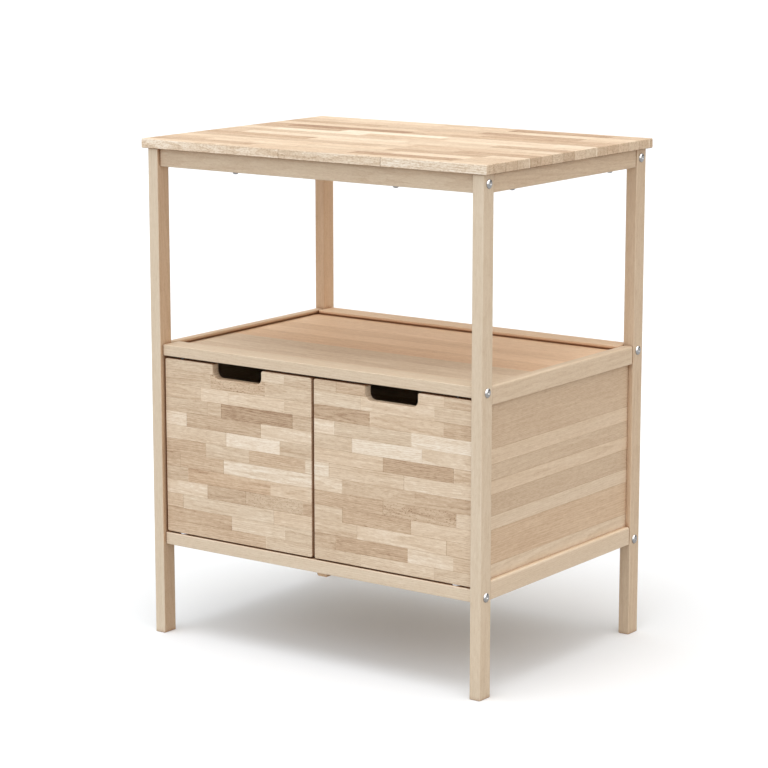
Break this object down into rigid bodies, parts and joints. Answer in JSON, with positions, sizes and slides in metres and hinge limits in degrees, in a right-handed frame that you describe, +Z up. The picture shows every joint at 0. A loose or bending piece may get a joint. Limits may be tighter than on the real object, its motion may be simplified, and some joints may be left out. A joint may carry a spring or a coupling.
{
  "type": "changing table",
  "caption": "Raw beech changing table with a finger-jointed top, slim bolted posts, an open shelf and a lower cabinet closed by pivot-hung doors with hand holes.",
  "frame": {"origin": "centre of the footprint on the floor", "axes": "+Z up, -Y is the front with the doors, +X to the right seen from the front"},
  "size_m": [0.704, 0.508, 0.8662],
  "materials": {
    "beech_post": "raw sanded beech, long grain upright",
    "beech_rail": "raw sanded beech, long grain along the rail",
    "beech_block_top": "raw finger-jointed beech block, sanded",
    "beech_block_door": "raw finger-jointed beech block, sanded",
    "beech_panel": "raw beech panel of full-length staves, sanded",
    "beech_batten": "raw beech, planed",
    "pin_steel": "bright zinc",
    "bolt_steel": "bright zinc, smooth domed head",
    "screw_steel": "zinc",
    "washer_nylon": "natural white nylon",
    "catch_plastic": "matt off-white"
  },
  "bodies": {
    "frame": {"post_front_left": "beech_post", "post_front_right": "beech_post", "post_back_left": "beech_post", "post_back_right": "beech_post", "upper_rail_front": "beech_rail", "upper_rail_back": "beech_rail", "upper_rail_left": "beech_rail", "upper_rail_right": "beech_rail", "middle_rail_front": "beech_rail", "middle_rail_back": "beech_rail", "middle_rail_left": "beech_rail", "middle_rail_right": "beech_rail", "lower_rail_front": "beech_rail", "lower_rail_back": "beech_rail", "lower_rail_left": "beech_rail", "lower_rail_right": "beech_rail", "tabletop": "beech_block_top", "shelf_panel": "beech_panel", "bottom_panel": "beech_panel", "side_panel_left": "beech_panel", "side_panel_right": "beech_panel", "back_panel": "beech_panel", "bottom_batten": "beech_batten", "door_left_pin_bottom": "pin_steel", "door_left_pin_top": "pin_steel", "door_left_washer": "washer_nylon", "door_right_pin_bottom": "pin_steel", "door_right_pin_top": "pin_steel", "door_right_washer": "washer_nylon", "catch_left": "catch_plastic", "catch_right": "catch_plastic", "bolt_upper_front_left": "bolt_steel", "bolt_upper_front_right": "bolt_steel", "bolt_upper_back_left": "bolt_steel", "bolt_upper_back_right": "bolt_steel", "bolt_middle_front_left": "bolt_steel", "bolt_middle_front_right": "bolt_steel", "bolt_middle_back_left": "bolt_steel", "bolt_middle_back_right": "bolt_steel", "bolt_lower_front_left": "bolt_steel", "bolt_lower_front_right": "bolt_steel", "bolt_lower_back_left": "bolt_steel", "bolt_lower_back_right": "bolt_steel", "top_screw_front_rail_left": "screw_steel", "top_screw_left_rail_front": "screw_steel", "top_screw_front_rail_right": "screw_steel", "top_screw_right_rail_front": "screw_steel", "batten_screw_front": "screw_steel", "top_screw_back_rail_left": "screw_steel", "top_screw_left_rail_back": "screw_steel", "top_screw_back_rail_right": "screw_steel", "top_screw_right_rail_back": "screw_steel", "batten_screw_back": "screw_steel"},
    "left_door": {"door_left": "beech_block_door", "strike_plate_left": "screw_steel"},
    "right_door": {"door_right": "beech_block_door", "strike_plate_right": "screw_steel"}
  },
  "joints": [
    {"name": "left_door_hinge", "type": "hinge", "parent": "frame", "child": "left_door", "pos_m": [-0.2854, -0.2316, 0.3367], "axis": [0, 0, -1], "range_deg": [0, 130]},
    {"name": "right_door_hinge", "type": "hinge", "parent": "frame", "child": "right_door", "pos_m": [0.2854, -0.2316, 0.3367], "axis": [0, 0, 1], "range_deg": [0, 130]}
  ]
}
